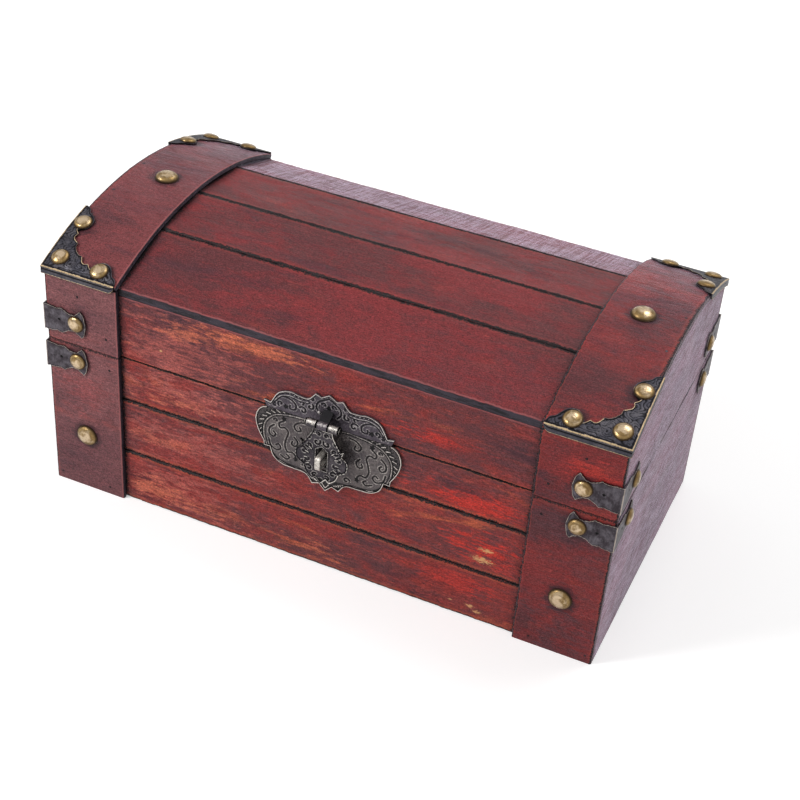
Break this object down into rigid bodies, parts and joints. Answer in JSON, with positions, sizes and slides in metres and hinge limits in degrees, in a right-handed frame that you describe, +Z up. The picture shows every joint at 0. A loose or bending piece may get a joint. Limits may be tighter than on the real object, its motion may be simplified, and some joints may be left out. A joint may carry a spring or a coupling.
{
  "type": "wooden storage box",
  "caption": "Small plank-built keepsake chest with a low arched lid that hinges at the back, wooden end straps, metal corners, domed tacks and a hasp latch.",
  "frame": {"origin": "on the underside, in the middle of the wooden body's length and depth", "axes": "+X to the right along the front, +Y to the back, +Z up; the latch faces -Y"},
  "size_m": [0.308, 0.1735, 0.151],
  "materials": {
    "stained_wood": "red mahogany stain with darker edges, low satin sheen",
    "plain_wood": "plain board, matt",
    "aged_metal": "stamped sheet, antique dark finish, bright where it is worn",
    "antique_brass": "antique brass, darkened at the rim"
  },
  "bodies": {
    "base": {"base_bottom": "plain_wood", "base_front_plank_lower": "stained_wood", "base_back_plank_lower": "stained_wood", "base_front_plank_middle": "stained_wood", "base_back_plank_middle": "stained_wood", "base_front_plank_upper": "stained_wood", "base_back_plank_upper": "stained_wood", "base_end_left": "stained_wood", "base_end_right": "stained_wood", "base_strap_front_left": "stained_wood", "base_strap_front_right": "stained_wood", "base_strap_back_left": "stained_wood", "base_strap_back_right": "stained_wood", "base_bracket_front_left": "aged_metal", "base_bracket_front_right": "aged_metal", "base_bracket_back_left": "aged_metal", "base_bracket_back_right": "aged_metal", "latch_base_plate": "aged_metal", "latch_eye": "aged_metal", "hinge_base_leaf_left": "aged_metal", "hinge_base_leaf_right": "aged_metal", "hinge_pin_left": "aged_metal", "hinge_pin_right": "aged_metal", "base_tack_front_left": "antique_brass", "base_tack_front_right": "antique_brass", "base_tack_back_left": "antique_brass", "base_tack_back_right": "antique_brass"},
    "lid": {"lid_front_rail": "stained_wood", "lid_back_rail": "stained_wood", "lid_end_left": "stained_wood", "lid_end_right": "stained_wood", "lid_plank_front": "stained_wood", "lid_plank_front_crown": "stained_wood", "lid_plank_back_crown": "stained_wood", "lid_plank_back": "stained_wood", "lid_strap_front_left": "stained_wood", "lid_strap_front_right": "stained_wood", "lid_strap_back_left": "stained_wood", "lid_strap_back_right": "stained_wood", "lid_strap_top_left": "stained_wood", "lid_strap_top_right": "stained_wood", "lid_corner_front_left": "aged_metal", "lid_corner_front_right": "aged_metal", "lid_corner_back_left": "aged_metal", "lid_corner_back_right": "aged_metal", "lid_bracket_front_left": "aged_metal", "lid_bracket_front_right": "aged_metal", "lid_bracket_back_left": "aged_metal", "lid_bracket_back_right": "aged_metal", "latch_lid_plate": "aged_metal", "latch_pin": "aged_metal", "hinge_lid_leaf_left": "aged_metal", "hinge_lid_leaf_right": "aged_metal", "lid_tack_left": "antique_brass", "lid_tack_right": "antique_brass"},
    "hasp": {"latch_hasp": "aged_metal"}
  },
  "joints": [
    {"name": "lid_hinge", "type": "hinge", "parent": "base", "child": "lid", "pos_m": [0, 0.0804, 0.08915], "axis": [-1, 0, 0], "range_deg": [0, 105]},
    {"name": "hasp_hinge", "type": "hinge", "parent": "lid", "child": "hasp", "pos_m": [0.0055, -0.0845, 0.0928], "axis": [-1, 0, 0], "range_deg": [0, 160]}
  ]
}
